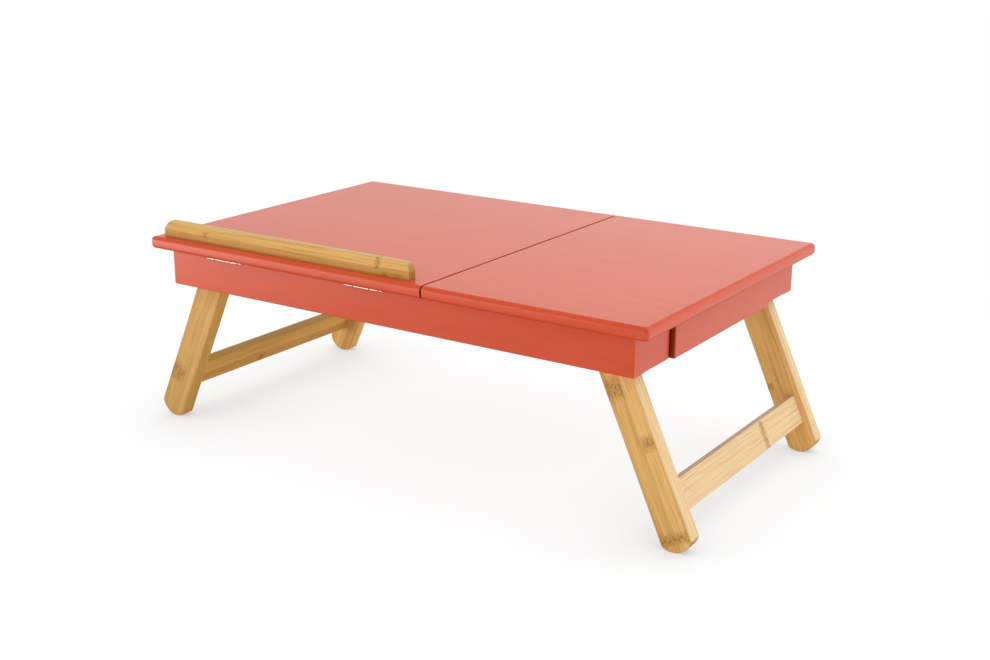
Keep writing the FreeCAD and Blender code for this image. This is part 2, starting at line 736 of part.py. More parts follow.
def stop_rail(screws):
    section = drawn("rail_section", "YZ_Plane", (
        ("rail_front", "table_height"), ("rail_front + rail_depth", "table_height"),
        ("rail_front + rail_depth", "rail_top"), ("rail_front + rail_bevel", "rail_top"),
        ("rail_front", "table_height + rail_face")), "rail_length")
    place(section, "rail_left", 0, 0)
    profile = drawn("rail_profile", "XZ_Plane", (
        ("rail_left", "table_height"), ("rail_right", "table_height"),
        ("rail_right", "table_height + rail_end_face"), ("rail_right - rail_end_slope", "rail_top"),
        ("rail_left + rail_end_slope", "rail_top"), ("rail_left", "table_height + rail_end_face")),
        "rail_depth")
    place(profile, 0, "rail_front + rail_depth", 0)
    shape = doc.addObject("Part::Common", "rail_blank")
    shape.Base = section
    shape.Tool = profile
    top = number("rail_top")
    slack = number("pick_slack")
    eased = ease("rail_eased", shape, "rail_ease", lambda a, b: max(a.z, b.z) > top - slack)
    node("laptop_stop_rail", cut("laptop_stop_rail", eased, screws))


# Prop: two arms on a rod under the tilting panel, with a foot rod that stands in the rack.
def prop_brackets():
    half = "(prop_span / 2 + prop_rod_end)"
    pivot = node("prop_pivot_rod", rod("prop_pivot_rod", "x", "prop_rod_radius",
                                       (f"prop_x - {half}", f"prop_x + {half}"), "prop_y", "prop_z"))
    screws = []
    blanks = {}
    for label, side in (("left_prop_bracket", -1), ("right_prop_bracket", 1)):
        ends = sorted((f"prop_x + {side} * bracket_outer",
                       f"prop_x + {side} * (bracket_outer - bracket_width)"), key=number)
        plain = block(f"{label}_blank", ends,
                      ("prop_y - bracket_length / 2", "prop_y + bracket_length / 2"),
                      ("under_top - bracket_height", "under_top"))
        doc.recompute()
        low = both_at("z", "under_top - bracket_height")
        blanks[label] = ease(f"{label}_eased", plain, "bracket_ease",
                             lambda a, b, low=low: low(a, b) and abs(a.x - b.x) > number("bracket_ease"))
        for share in pair_shares:
            middle = f"prop_x + {side} * (bracket_outer - bracket_width / 2)"
            screws.append(wood_screw("bracket_screw", middle,
                                     f"prop_y + bracket_length * ({share} - 1 / 2)",
                                     "under_top - bracket_height", 1, "bracket_height + screw_bite"))
    fixings = node("prop_bracket_screws", group("prop_bracket_screws", screws))
    for label, blank in blanks.items():
        node(label, cut(label, blank, pivot, fixings))
    return fixings


def prop_arms():
    body = doc.addObject("PartDesign::Body", "arm_blank")
    sketch = sketch_on(body, "arm_outline", "YZ_Plane")
    half = number("arm_thickness / 2")
    reach = number("prop_arm")
    sketch.addGeometry(Part.LineSegment(FreeCAD.Vector(reach, half, 0), FreeCAD.Vector(0, half, 0)))
    sketch.addGeometry(Part.Arc(FreeCAD.Vector(0, half, 0), FreeCAD.Vector(-half, 0, 0),
                                FreeCAD.Vector(0, -half, 0)))
    sketch.addGeometry(Part.LineSegment(FreeCAD.Vector(0, -half, 0), FreeCAD.Vector(reach, -half, 0)))
    sketch.addGeometry(Part.Arc(FreeCAD.Vector(reach, -half, 0), FreeCAD.Vector(reach + half, 0, 0),
                                FreeCAD.Vector(reach, half, 0)))
    for first, start, second, end in ((0, 2, 1, 1), (1, 2, 2, 1), (2, 2, 3, 1), (3, 2, 0, 1)):
        sketch.addConstraint(Sketcher.Constraint("Coincident", first, start, second, end))
    pin_point(sketch, "foot_top", "prop_arm", "arm_thickness / 2", 0, 1)
    pin_point(sketch, "pivot_top", 0, "arm_thickness / 2", 0, 2)
    pin_point(sketch, "pivot_low", 0, "-arm_thickness / 2", 2, 1)
    pin_point(sketch, "foot_low", "prop_arm", "-arm_thickness / 2", 2, 2)
    for arc, along in ((1, 0), (3, "prop_arm")):
        hold(sketch, "DistanceX", f"end{arc}_centre", along, -1, 1, arc, 3)
    circle(sketch, "pivot_eye", "prop_rod_radius + pivot_clear", 0, 0)
    circle(sketch, "tenon_eye", "tenon_radius", "prop_arm", 0)
    pad(body, sketch, "arm_width")
    place(body, "prop_x + arm_inner", "prop_y", "prop_z")
    node("right_prop_arm", body)
    left = mirror("left_prop_arm", body, right)
    left.setExpression("Base.x", formula("prop_x"))
    node("left_prop_arm", left)
    foot = rod("foot_bar", "x", "foot_radius", ("prop_x - arm_inner", "prop_x + arm_inner"),
               "prop_y + prop_arm", "prop_z")
    tenon = rod("foot_tenon", "x", "tenon_radius", ("prop_x - prop_span / 2", "prop_x + prop_span / 2"),
                "prop_y + prop_arm", "prop_z")
    node("prop_foot_rod", join("prop_foot_rod", foot, tenon))


# Rack: one steep-backed notch for each tilt that the prop can hold.
def prop_rack():
    seats = []
    for share in tilt_stop_shares:
        tilt = f"tilt_limit * {share}"
        seats.append(f"(hinge_y + (prop_reach + prop_arm) * cos({tilt}) + prop_offset * sin({tilt}))")
    front_edge = f"{seats[-1]} - foot_radius * {notch_slope_share} - rack_land"
    back_edge = f"{seats[0]} + foot_radius * {notch_back_share} + rack_lip"
    ridge = f"({seats[-1]} + {seats[-2]} + foot_radius * ({notch_back_share} - {notch_slope_share})) / 2"
    corners = [(front_edge, "bay_floor"), (back_edge, "bay_floor"), (back_edge, "rack_top")]
    for seat in seats:
        corners.append((f"{seat} + foot_radius * {notch_back_share}", "rack_top"))
        corners.append((f"{seat} + foot_radius * {notch_back_share}", "rack_top - notch_depth"))
        corners.append((f"{seat} - foot_radius * {notch_floor_share}", "rack_top - notch_depth"))
        corners.append((f"{seat} - foot_radius * {notch_slope_share}", "rack_top"))
    corners.append((front_edge, "rack_top"))
    board = drawn("rack_blank", "YZ_Plane", corners, "end_inner + centre_rail_width / 2")
    place(board, "-end_inner", 0, 0)
    screws = []
    for y in (f"{front_edge} + rack_land / 2", ridge):
        screws.append(wood_screw("rack_screw", 0, y, "bay_floor", 1, "rack_top - bay_floor + screw_bite"))
        screws.append(wood_screw("rack_screw", "-end_inner + ledger_width / 2", y, "rack_top", -1,
                                 "rack_top - bay_floor + screw_bite"))
    fixings = node("rack_screws", group("rack_screws", screws))
    node("prop_rack", cut("prop_rack", board, fixings))
    ledger = block("ledger_blank", ("-end_inner", "-end_inner + ledger_width"), (front_edge, back_edge),
                   ("bay_floor - ledger_height", "bay_floor"))
    node("rack_ledger", cut("rack_ledger", ledger, fixings))
    return fixings


def centre_rail(rack_fixings, rail_dowels):
    plain = block("centre_rail_blank", ("-centre_rail_width / 2", "centre_rail_width / 2"),
                  ("-board_inner", "board_inner"), ("rack_top", "under_top"))
    node("centre_rail", cut("centre_rail", plain, rack_fixings, rail_dowels))


def top_panels(panel_dowels, guide_fixings, rail_fixings, leaf_fixings, bracket_fixings):
    fixed = panel("fixed_panel", "right_edge", "half_length", "right_edge")
    node("fixed_top_panel", cut("fixed_top_panel", fixed, panel_dowels, guide_fixings))
    front = "hinge_y + barrel_radius - leaf_thickness - leaf_clear"
    seat = ("under_top - overrun", "under_top + leaf_thickness")
    recesses = [leaf_recess(x, front, seat) for x in hinge_places]
    tilting = panel("tilting_panel", "-half_length", "left_edge", "left_edge")
    node("tilting_top_panel", cut("tilting_top_panel", tilting, rail_fixings, leaf_fixings,
                                  bracket_fixings, *recesses))


def build():
    joints = corner_dowels()
    rail_dowels = centre_rail_dowels()
    panel_dowels = fixed_panel_dowels()
    pivots = pivot_hardware()
    fixed_screws = leaf_screws("fixed_leaf_screws", "leaf_top", -1)
    moving_screws = leaf_screws("moving_leaf_screws", "under_top", 1)
    for side, x in zip(("left", "right"), hinge_places):
        fixed_leaf(f"{side}_hinge_fixed_leaf", x, fixed_screws)
        moving_leaf(f"{side}_hinge_moving_leaf", x, moving_screws)
    hinge_pins()
    long_boards(fixed_screws, joints, rail_dowels, panel_dowels, *pivots)
    end_boards(joints)
    guide_fixings = guide_screws()
    drawer_run(guide_fixings)
    drawer_box()
    leg_frames()
    rail_fixings = rail_screws()
    stop_rail(rail_fixings)
    bracket_fixings = prop_brackets()
    prop_arms()
    centre_rail(prop_rack(), rail_dowels)
    top_panels(panel_dowels, guide_fixings, rail_fixings, moving_screws, bracket_fixings)
    doc.recompute()


def check():
    for thing in doc.Objects:
        if "Invalid" in thing.State or "Error" in thing.State:
            raise RuntimeError(f"{thing.Label} failed: {thing.State}")
    for label, thing in nodes.items():
        if thing.Shape.isNull() or not thing.Shape.isValid():
            raise RuntimeError(f"{label} has no valid shape")


def write():
    os.makedirs("parts", exist_ok=True)
    for label, thing in nodes.items():
        thing.Shape.exportStep(f"parts/{label}.step")
        print(f"{label}: {len(thing.Shape.Solids)} solid(s), {thing.Shape.Volume:.0f} mm3")


build()
check()
write()
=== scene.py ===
import json
import math
import bmesh
import bpy
from mathutils import Matrix, Vector


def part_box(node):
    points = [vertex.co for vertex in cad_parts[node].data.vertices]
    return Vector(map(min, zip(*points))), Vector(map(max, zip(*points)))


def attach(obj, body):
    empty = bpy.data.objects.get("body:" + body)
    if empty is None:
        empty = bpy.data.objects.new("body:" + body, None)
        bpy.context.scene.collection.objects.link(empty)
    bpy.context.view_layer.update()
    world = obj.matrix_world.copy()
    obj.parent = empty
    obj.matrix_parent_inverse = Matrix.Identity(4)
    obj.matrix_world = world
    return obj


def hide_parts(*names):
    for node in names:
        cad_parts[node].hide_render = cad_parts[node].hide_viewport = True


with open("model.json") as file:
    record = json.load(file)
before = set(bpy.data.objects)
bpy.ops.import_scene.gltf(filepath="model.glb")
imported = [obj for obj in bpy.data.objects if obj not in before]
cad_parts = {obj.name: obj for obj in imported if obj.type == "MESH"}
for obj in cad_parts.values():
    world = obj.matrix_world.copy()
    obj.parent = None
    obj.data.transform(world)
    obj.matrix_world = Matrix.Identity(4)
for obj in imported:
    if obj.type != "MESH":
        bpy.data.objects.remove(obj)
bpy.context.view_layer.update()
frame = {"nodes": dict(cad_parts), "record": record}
print("frame loaded:", len(frame["nodes"]), "nodes")


# everyday modelling steps

def selectOnly(piece):
    bpy.ops.object.select_all(action="DESELECT")
    piece.select_set(True)
    bpy.context.view_layer.objects.active = piece


def named(name):
    piece = bpy.context.object
    piece.name = name
    piece.data.name = name
    return piece


def applyPlace(piece):
    selectOnly(piece)
    bpy.ops.object.transform_apply(location=True, rotation=True, scale=True)


def addBlock(name, low, high):
    bpy.ops.object.select_all(action="DESELECT")
    size = [b - a for a, b in zip(low, high)]
    middle = [(a + b) / 2 for a, b in zip(low, high)]
    bpy.ops.mesh.primitive_cube_add(size=1, location=middle, scale=size)
    piece = named(name)
    applyPlace(piece)
    return piece


def addPlate(name, outline, start, depth):  # outline of (x, z) points, pulled along y
    bpy.ops.object.select_all(action="DESELECT")
    bpy.ops.mesh.primitive_circle_add(vertices=len(outline), radius=0.1, fill_type="NGON")
    piece = named(name)
    for vertex, (x, z) in zip(piece.data.vertices, outline):
        vertex.co = (x, start, z)
    bpy.ops.object.mode_set(mode="EDIT")
    bpy.ops.mesh.select_all(action="SELECT")
    bpy.ops.mesh.extrude_region_move(TRANSFORM_OT_translate={"value": (0, depth, 0)})
    bpy.ops.mesh.select_all(action="SELECT")
    bpy.ops.mesh.normals_make_consistent(inside=False)
    bpy.ops.object.mode_set(mode="OBJECT")
    return piece


def startPicking(piece, kind):  # leaves the piece in edit mode with nothing selected
    selectOnly(piece)
    bpy.ops.object.mode_set(mode="EDIT")
    bpy.ops.mesh.select_mode(type=kind)
    bpy.ops.mesh.select_all(action="DESELECT")
    return bmesh.from_edit_mesh(piece.data)


def pickEdges(piece, wanted):  # leaves those edges selected
    for edge in startPicking(piece, "EDGE").edges:
        if wanted(edge.verts[0].co, edge.verts[1].co):
            edge.select_set(True)
    bmesh.update_edit_mesh(piece.data)


def pickFaces(piece, wanted):  # leaves those faces selected
    for face in startPicking(piece, "FACE").faces:
        if wanted(face.normal):
            face.select_set(True)
    bmesh.update_edit_mesh(piece.data)


def weighEdges(piece, wanted, weight):  # how much of the rounding those edges take
    pickEdges(piece, wanted)
    bpy.ops.transform.edge_bevelweight(value=weight)
    bpy.ops.object.mode_set(mode="OBJECT")


def roundByWeight(piece, width, steps):
    selectOnly(piece)
    bpy.ops.object.modifier_add(type="BEVEL")
    rounding = piece.modifiers[-1]
    rounding.limit_method = "WEIGHT"
    rounding.width = width
    rounding.segments = steps
    bpy.ops.object.modifier_apply(modifier=rounding.name)


def roundEdges(piece, wanted, width, steps):
    pickEdges(piece, wanted)
    bpy.ops.mesh.bevel(offset=width, segments=steps, profile=0.5, affect="EDGES")
    bpy.ops.object.mode_set(mode="OBJECT")


def near(a, b, slack=0.0001):
    return abs(a - b) < slack


def bothAt(a, b, place):
    return near(a, place) and near(b, place)


def looksDown(normal, level=0.9999):
    return normal.z < -level


def drill(piece, centre, radius, length, sides=48):  # a round hole along y
    bpy.ops.object.select_all(action="DESELECT")
    bpy.ops.mesh.primitive_cylinder_add(vertices=sides, radius=radius, depth=length, location=centre,
                                        rotation=(math.pi / 2, 0, 0))
    bit = named("drillBit")
    selectOnly(piece)
    bpy.ops.object.modifier_add(type="BOOLEAN")
    hole = piece.modifiers[-1]
    hole.operation = "DIFFERENCE"
    hole.object = bit
    bpy.ops.object.modifier_apply(modifier=hole.name)
    bpy.data.objects.remove(bit)


def dress(piece, body, slotName, material, *nodes, smooth=40):  # finish, body and the nodes it stands for
    selectOnly(piece)
    bpy.ops.object.shade_smooth_by_angle(angle=math.radians(smooth))
    bpy.ops.object.modifier_add(type="WEIGHTED_NORMAL")
    piece.modifiers[-1].keep_sharp = True
    bpy.ops.object.modifier_apply(modifier=piece.modifiers[-1].name)
    piece.data.materials.clear()
    piece.data.materials.append(material)
    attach(piece, body)
    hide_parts(*nodes)
    return piece


def refinish(piece, material, wanted):  # another finish on those faces
    piece.data.materials.append(material)
    for face in piece.data.polygons:
        if wanted(face):
            face.material_index = len(piece.data.materials) - 1


# finishes: a step in a look reads from, to, amount at from, amount at to

class Shop:  # a small bench for wiring one material, or the world
    def __init__(self, name, kind="materials"):
        self.made = getattr(bpy.data, kind).new(name)
        self.made.use_nodes = True
        self.tree = self.made.node_tree
        self.shader = self.tree.nodes.get("Principled BSDF")

    def add(self, kind, **values):
        node = self.tree.nodes.new(kind)
        for key, value in values.items():
            setattr(node, key, value)
        return node

    def wire(self, value, into):  # a number, a colour or another node's output
        if isinstance(value, (int, float)):
            into.default_value = value
        elif isinstance(value, (tuple, list)):
            into.default_value = (*value, 1.0)
        else:
            self.tree.links.new(value, into)

    def give(self, name, value):
        self.wire(value, self.shader.inputs[name])

    def math(self, operation, *values):
        node = self.add("ShaderNodeMath", operation=operation)
        for value, socket in zip(values, node.inputs):
            self.wire(value, socket)
        return node.outputs[0]

    def noise(self, vector, scale, detail=2.0, roughness=0.5, distortion=0.0):
        node = self.add("ShaderNodeTexNoise")
        node.inputs["Scale"].default_value = scale
        node.inputs["Detail"].default_value = detail
        node.inputs["Roughness"].default_value = roughness
        node.inputs["Distortion"].default_value = distortion
        self.wire(vector, node.inputs["Vector"])
        return node.outputs["Fac"]

    def chance(self, number):  # one lot for each whole number
        node = self.add("ShaderNodeTexWhiteNoise", noise_dimensions="1D")
        self.wire(number, node.inputs["W"])
        return node.outputs["Value"]

    def band(self, value, low, high, outLow=0.0, outHigh=1.0):  # a smooth step from low to high
        node = self.add("ShaderNodeMapRange", interpolation_type="SMOOTHSTEP")
        for part, socket in zip((value, low, high, outLow, outHigh), node.inputs):
            self.wire(part, socket)
        return node.outputs[0]

    def blend(self, factor, first, second, kind="MIX"):
        node = self.add("ShaderNodeMix", data_type="RGBA", blend_type=kind)
        for value, index in ((factor, 0), (first, 6), (second, 7)):
            self.wire(value, node.inputs[index])
        return node.outputs[2]

    def bump(self, height, strength, distance, before=None):
        node = self.add("ShaderNodeBump")
        node.inputs["Strength"].default_value = strength
        node.inputs["Distance"].default_value = distance
        self.wire(height, node.inputs["Height"])
        if before is not None:
            self.wire(before, node.inputs["Normal"])
        return node.outputs["Normal"]

    def place(self, turn=(0, 0, 0), shift=(0, 0, 0)):
        coordinates = self.add("ShaderNodeTexCoord")
        mapping = self.add("ShaderNodeMapping")
        mapping.inputs["Rotation"].default_value = turn
        mapping.inputs["Location"].default_value = shift
        self.wire(coordinates.outputs["Object"], mapping.inputs["Vector"])
        return mapping.outputs["Vector"]

    def facing(self, turn=(0, 0, 0)):  # which way the surface looks, turned like the pattern
        coordinates = self.add("ShaderNodeTexCoord")
        mapping = self.add("ShaderNodeMapping", vector_type="VECTOR")
        mapping.inputs["Rotation"].default_value = turn
        self.wire(coordinates.outputs["Normal"], mapping.inputs["Vector"])
        return self.parts(mapping.outputs["Vector"])

    def parts(self, vector):
        node = self.add("ShaderNodeSeparateXYZ")
        self.wire(vector, node.inputs[0])
        return node.outputs

    def stretched(self, vector, scale):
        node = self.add("ShaderNodeVectorMath", operation="MULTIPLY")
        node.inputs[1].default_value = scale
        self.wire(vector, node.inputs[0])
        return node.outputs[0]

    def strokes(self, vector, along, across, detail, roughness):  # noise drawn out along the first axis
        return self.noise(self.stretched(vector, (along, across, across)), 1.0, detail, roughness)

    def toward(self, way, direction):  # 1 where both point the same way
        node = self.add("ShaderNodeVectorMath", operation="DOT_PRODUCT")
        node.inputs[1].default_value = direction
        self.wire(way, node.inputs[0])
        return node.outputs["Value"]

    def openness(self, reach):  # 1 in the open, less in a crevice
        node = self.add("ShaderNodeAmbientOcclusion")
        node.inputs["Distance"].default_value = reach
        return node.outputs["AO"]


lacquerLook = {
    "colour": (0.640, 0.066, 0.013),
    "deep": (0.596, 0.056, 0.009),
    "pale": (0.652, 0.069, 0.014),
    # painted shade colour, for crevices and for faces that look down
    "creviceShade": (0.085, 0.008, 0.003),
    "creviceReach": 0.014,
    "creviceShadeStep": (0.15, 0.70, 0.9, 0.0),
    "undersideShadeStep": (-0.9, -0.2, 0.20, 0.0),
    "cloudScale": 9.0,
    "cloudStep": (0.3, 0.7),
    "streakStep": (0.45, 0.75, 0.0, 0.6),
    "peelScale": 750.0,
    "roughStep": (0.3, 0.7, 0.36, 0.40),
    "cloudBump": (0.02, 0.0010),
    "peelBump": (0.05, 0.00006),
    "index": 1.32,
    "specular": 0.5,
    "coat": 0.64,
    "coatRoughness": 0.14,
    "openSheenStep": (0.15, 0.66, 0.2, 1.0),
    "upwardSheenStep": (-0.55, -0.10, 0.12, 1.0),
}


def makeLacquer(name, grain, tone=1.0):  # grain: how the wood below is stretched, x y z
    look = lacquerLook
    plain, deep, pale = ([tone * part for part in look[key]] for key in ("colour", "deep", "pale"))
    shop = Shop(name)
    at = shop.place()
    cloud = shop.noise(at, look["cloudScale"], 3.0)
    streak = shop.noise(shop.stretched(at, grain), 1.0, 3.0, 0.55, 0.6)
    peel = shop.noise(at, look["peelScale"], 2.0)  # skin of a sprayed coat
    clear = shop.openness(look["creviceReach"])
    rise = shop.facing()[2]
    colour = shop.blend(shop.band(cloud, *look["cloudStep"]), plain, pale)
    colour = shop.blend(shop.band(streak, *look["streakStep"]), colour, deep)
    # painted shade: darker where occlusion finds other surfaces close by
    colour = shop.blend(shop.band(clear, *look["creviceShadeStep"]), colour, look["creviceShade"])
    # painted shade: faces that look down turn darker
    colour = shop.blend(shop.band(rise, *look["undersideShadeStep"]), colour, look["creviceShade"])
    shop.give("Base Color", colour)
    shop.give("Roughness", shop.band(peel, *look["roughStep"]))
    normal = shop.bump(cloud, *look["cloudBump"])
    shop.give("Normal", shop.bump(peel, *look["peelBump"], normal))
    upward = shop.band(rise, *look["upwardSheenStep"])  # faces that look down are duller
    sheen = shop.math("MULTIPLY", upward, shop.band(clear, *look["openSheenStep"]))
    shop.give("IOR", look["index"])
    shop.give("Specular IOR Level", shop.math("MULTIPLY", sheen, look["specular"]))
    shop.give("Coat IOR", look["index"])
    shop.give("Coat Weight", shop.math("MULTIPLY", sheen, look["coat"]))
    shop.give("Coat Roughness", look["coatRoughness"])
    return shop.made


bambooLook = {
    "light": (0.855, 0.530, 0.196),
    "middle": (0.757, 0.427, 0.129),
    "dark": (0.430, 0.195, 0.030),
    "knuckle": (0.330, 0.140, 0.020),
    "pale": (0.862, 0.628, 0.346),
    "cut": (0.340, 0.185, 0.045),
    "sawn": (0.520, 0.400, 0.290),
    "olive": (0.500, 0.350, 0.090),
    "dull": (0.530, 0.385, 0.180),
    "shaded": (0.97, 0.92, 0.62),
    "stripWidth": 0.0058,
    "stripWander": 0.0006,
    "darkStripStep": (0.5, 1.0, 0.0, 0.30),
    "cloudStep": (0.35, 0.75, 0.0, 0.30),
    "veins": {"streak": (0.50, 0.74, 0.0, 0.34), "fibre": (0.48, 0.72, 0.0, 0.44),
              "hair": (0.54, 0.68, 0.0, 0.44)},
    "glueStep": (0.455, 0.495, 0.0, 0.35),
    "layerBlur": 0.0004,
    "layerOverGrain": 0.35,
    "knuckleDepth": 0.45,
    "knuckleRagged": 0.004,
    "knuckleBlur": 0.0012,
    "speckStep": (0.50, 0.60, 0.0, 0.85),
    "cutStep": (0.40, 0.70, 0.0, 0.65),
    "upperStep": (0.60, 0.80, 0.0, 0.75),
    "inwardStep": (-0.15, -0.35),
    "roughStep": (0.3, 0.75, 0.42, 0.58),
    "fibreBump": (0.16, 0.0002),
    "glueBump": (0.08, 0.0002),
    "index": 1.27,
}
bambooStrokes = {  # how dense along and across, detail, roughness
    "wander": (4.0, 30.0, 2.0, 0.5),
    "cloud": (14.0, 40.0, 2.0, 0.5),
    "streak": (5.0, 260.0, 2.0, 0.55),
    "fibre": (15.0, 620.0, 3.0, 0.6),
    "hair": (22.0, 1500.0, 2.0, 0.5),
    "speck": (330.0, 950.0, 1.0, 0.5),
}


def makeBamboo(name, order, knuckles, seed, layer=None, tone=1.0, upperEdge=None,
               turn=(0, 0, 0), shift=(0, 0, 0)):  # order: axes along, across and through the strips
    look = bambooLook
    light, middle = ([tone * part for part in look[key]] for key in ("light", "middle"))
    shop = Shop(name)
    split = shop.parts(shop.place(turn, shift))
    along, across, through = [split["XYZ".index(axis)] for axis in order]
    joined = shop.add("ShaderNodeCombineXYZ")
    for part, socket in zip((along, across, through), joined.inputs):
        shop.wire(part, socket)
    stroke = {key: shop.strokes(joined.outputs[0], *values) for key, values in bambooStrokes.items()}
    place = shop.math("MULTIPLY_ADD", stroke["wander"], look["stripWander"], across)  # not quite straight
    strip = shop.math("DIVIDE", shop.math("ADD", place, seed), look["stripWidth"])
    number = shop.math("FLOOR", strip)
    rare = shop.chance(shop.math("ADD", number, 0.37))  # a second lot for the same strip
    colour = shop.blend(shop.chance(number), light, middle)
    colour = shop.blend(shop.band(rare, *look["darkStripStep"]), colour, look["dark"])
    colour = shop.blend(shop.band(stroke["cloud"], *look["cloudStep"]), colour, middle)

    def addLayer(under, share):  # one side is cut from a paler layer of the cane, or darker as painted shade
        axis, start, side, shade, amount = layer
        reach = shop.math("MULTIPLY", {"across": across, "through": through}[axis], side)
        mask = shop.band(reach, start, start + look["layerBlur"], 0.0, share * amount)
        return shop.blend(mask, under, look[shade])

    if layer:
        colour = addLayer(colour, 1.0)
    for vein, step in look["veins"].items():
        colour = shop.blend(shop.band(stroke[vein], *step), colour, look["dark"])
    if layer:  # and its grain is fainter
        colour = addLayer(colour, look["layerOverGrain"])
    glue = shop.math("ABSOLUTE", shop.math("SUBTRACT", shop.math("FRACT", strip), 0.5))
    colour = shop.blend(shop.band(glue, *look["glueStep"]), colour, look["dark"])
    ragged = shop.math("MULTIPLY_ADD", stroke["cloud"], look["knuckleRagged"], across)
    for start, reach, low, high in knuckles:  # joints of the cane: along, reach, from and to across
        mask = shop.band(shop.math("ABSOLUTE", shop.math("SUBTRACT", along, start)), reach, 0.0)
        mask = shop.math("MULTIPLY", mask, shop.band(ragged, low, low + look["knuckleBlur"]))
        mask = shop.math("MULTIPLY", mask, shop.band(ragged, high, high - look["knuckleBlur"]))
        colour = shop.blend(shop.math("MULTIPLY", mask, look["knuckleDepth"]), colour, look["dark"])
        specks = shop.math("MULTIPLY", mask, shop.band(stroke["speck"], *look["speckStep"]))
        colour = shop.blend(specks, colour, look["knuckle"])
    facing = shop.facing(turn)
    endwise = shop.math("ABSOLUTE", facing["XYZ".index(order[0])])
    colour = shop.blend(shop.band(endwise, *look["cutStep"]), colour, look["cut"])  # cut fibres
    if upperEdge:  # the upper edge of a bar is duller than its faces
        upper = shop.band(facing["XYZ".index(order[1])], *look["upperStep"])
        colour = shop.blend(upper, colour, look[upperEdge])
    inward = shop.band(shop.facing()[2], *look["inwardStep"])  # painted shade: faces that look down are darker and warmer
    shop.give("Base Color", shop.blend(inward, colour, look["shaded"], "MULTIPLY"))
    shop.give("Roughness", shop.band(stroke["fibre"], *look["roughStep"]))
    normal = shop.bump(stroke["fibre"], *look["fibreBump"])
    shop.give("Normal", shop.bump(glue, *look["glueBump"], normal))
    shop.give("IOR", look["index"])
    return shop.made


plainLook = {
    "light": (0.72, 0.56, 0.36),
    "dark": (0.55, 0.39, 0.21),
    "creviceShade": (0.07, 0.04, 0.02),
    "creviceReach": 0.012,
    "creviceShadeStep": (0.15, 0.70, 0.9, 0.0),
    "ringStep": (0.35, 0.7),
    "poresPerRing": 8,
    "poreStep": (0.55, 0.8, 0.0, 0.4),
    "roughStep": (0.3, 0.7, 0.52, 0.70),
    "poreBump": (0.2, 0.0003),
}


def makePlainWood(name, grain):
    look = plainLook
    shop = Shop(name)
    at = shop.place()
    ring = shop.noise(shop.stretched(at, grain), 1.0, 4.0, 0.6, 0.8)
    pore = shop.noise(shop.stretched(at, [look["poresPerRing"] * part for part in grain]), 1.0, 2.0)
    clear = shop.openness(look["creviceReach"])
    colour = shop.blend(shop.band(ring, *look["ringStep"]), look["light"], look["dark"])
    colour = shop.blend(shop.band(pore, *look["poreStep"]), colour, look["dark"])
    # painted shade: darker where occlusion finds other surfaces close by
    colour = shop.blend(shop.band(clear, *look["creviceShadeStep"]), colour, look["creviceShade"])
    shop.give("Base Color", colour)
    shop.give("Roughness", shop.band(pore, *look["roughStep"]))
    shop.give("Normal", shop.bump(pore, *look["poreBump"]))
    return shop.made


metalLook = {
    "cloudScale": 140.0,
    "wornStep": (0.4, 0.75, 0.0, 0.6),
    "seam": (0.06, 0.03, 0.025),
    "seamStep": (0.0009, 0.0004),
    "underShadeStep": (0.0, -0.45),
    "roughStep": (0.3, 0.7, 0.24, 0.40),
    "brushBump": (0.08, 0.0001),
}


def makeMetal(name, colour, worn, brush, seams=(), underShade=None):  # seams: between knuckles, along x
    look = metalLook
    shop = Shop(name)
    at = shop.place()
    line = shop.noise(shop.stretched(at, brush), 1.0, 2.0)
    cloud = shop.noise(at, look["cloudScale"], 3.0)
    shade = shop.blend(shop.band(cloud, *look["wornStep"]), colour, worn)
    for seam in seams:
        away = shop.math("ABSOLUTE", shop.math("SUBTRACT", shop.parts(at)[0], seam))
        shade = shop.blend(shop.band(away, *look["seamStep"]), shade, look["seam"])
    if underShade:  # painted shade on the side that looks down
        shade = shop.blend(shop.band(shop.facing()[2], *look["underShadeStep"]), shade, underShade)
    shop.give("Base Color", shade)
    shop.give("Roughness", shop.band(line, *look["roughStep"]))
    shop.give("Normal", shop.bump(line, *look["brushBump"]))
    shop.give("Metallic", 1.0)
    return shop.made


joints = {joint["name"]: joint for joint in frame["record"]["behaviour"]["joints"]}
rightPivot = Vector(joints["right_leg_fold"]["pos_m"])
leftPivot = Vector(joints["left_leg_fold"]["pos_m"])
legSplay = math.radians(24.5)
legCane = ("ZXY", "across", 0.0138)  # order of the axes, and where the pale layer starts
barCane = ("YZX", "through", 0.0088)


def makeLeaningBamboo(name, pivot, cane, knuckles, seed, tone=1.0, upperEdge=None):
    order, paleAxis, paleStart = cane
    turn = math.copysign(legSplay, pivot.x)
    shift = -(Matrix.Rotation(turn, 3, "Y") @ pivot)  # the pivot is the middle of the pattern
    layer = (paleAxis, paleStart, math.copysign(1, pivot.x), "pale", 1.0)
    return makeBamboo(name, order, knuckles, seed, layer, tone, upperEdge, (0, turn, 0), shift)


lacquer = makeLacquer("coralLacquer", (14.0, 90.0, 90.0))
lacquerAcross = makeLacquer("coralLacquerAcross", (90.0, 14.0, 90.0))
# painted shade: a darker copy of the lacquer for the drawer front's narrow sides in the gap
drawerEdgeShade = makeLacquer("coralDrawerEdgeShade", (14.0, 90.0, 90.0), 0.55)
rightFrontKnuckles = [
    (-0.036, 0.014, -0.016, 0.0035),
    (-0.087, 0.010, 0.003, 0.016),
    (-0.170, 0.008, -0.016, 0.016),
]
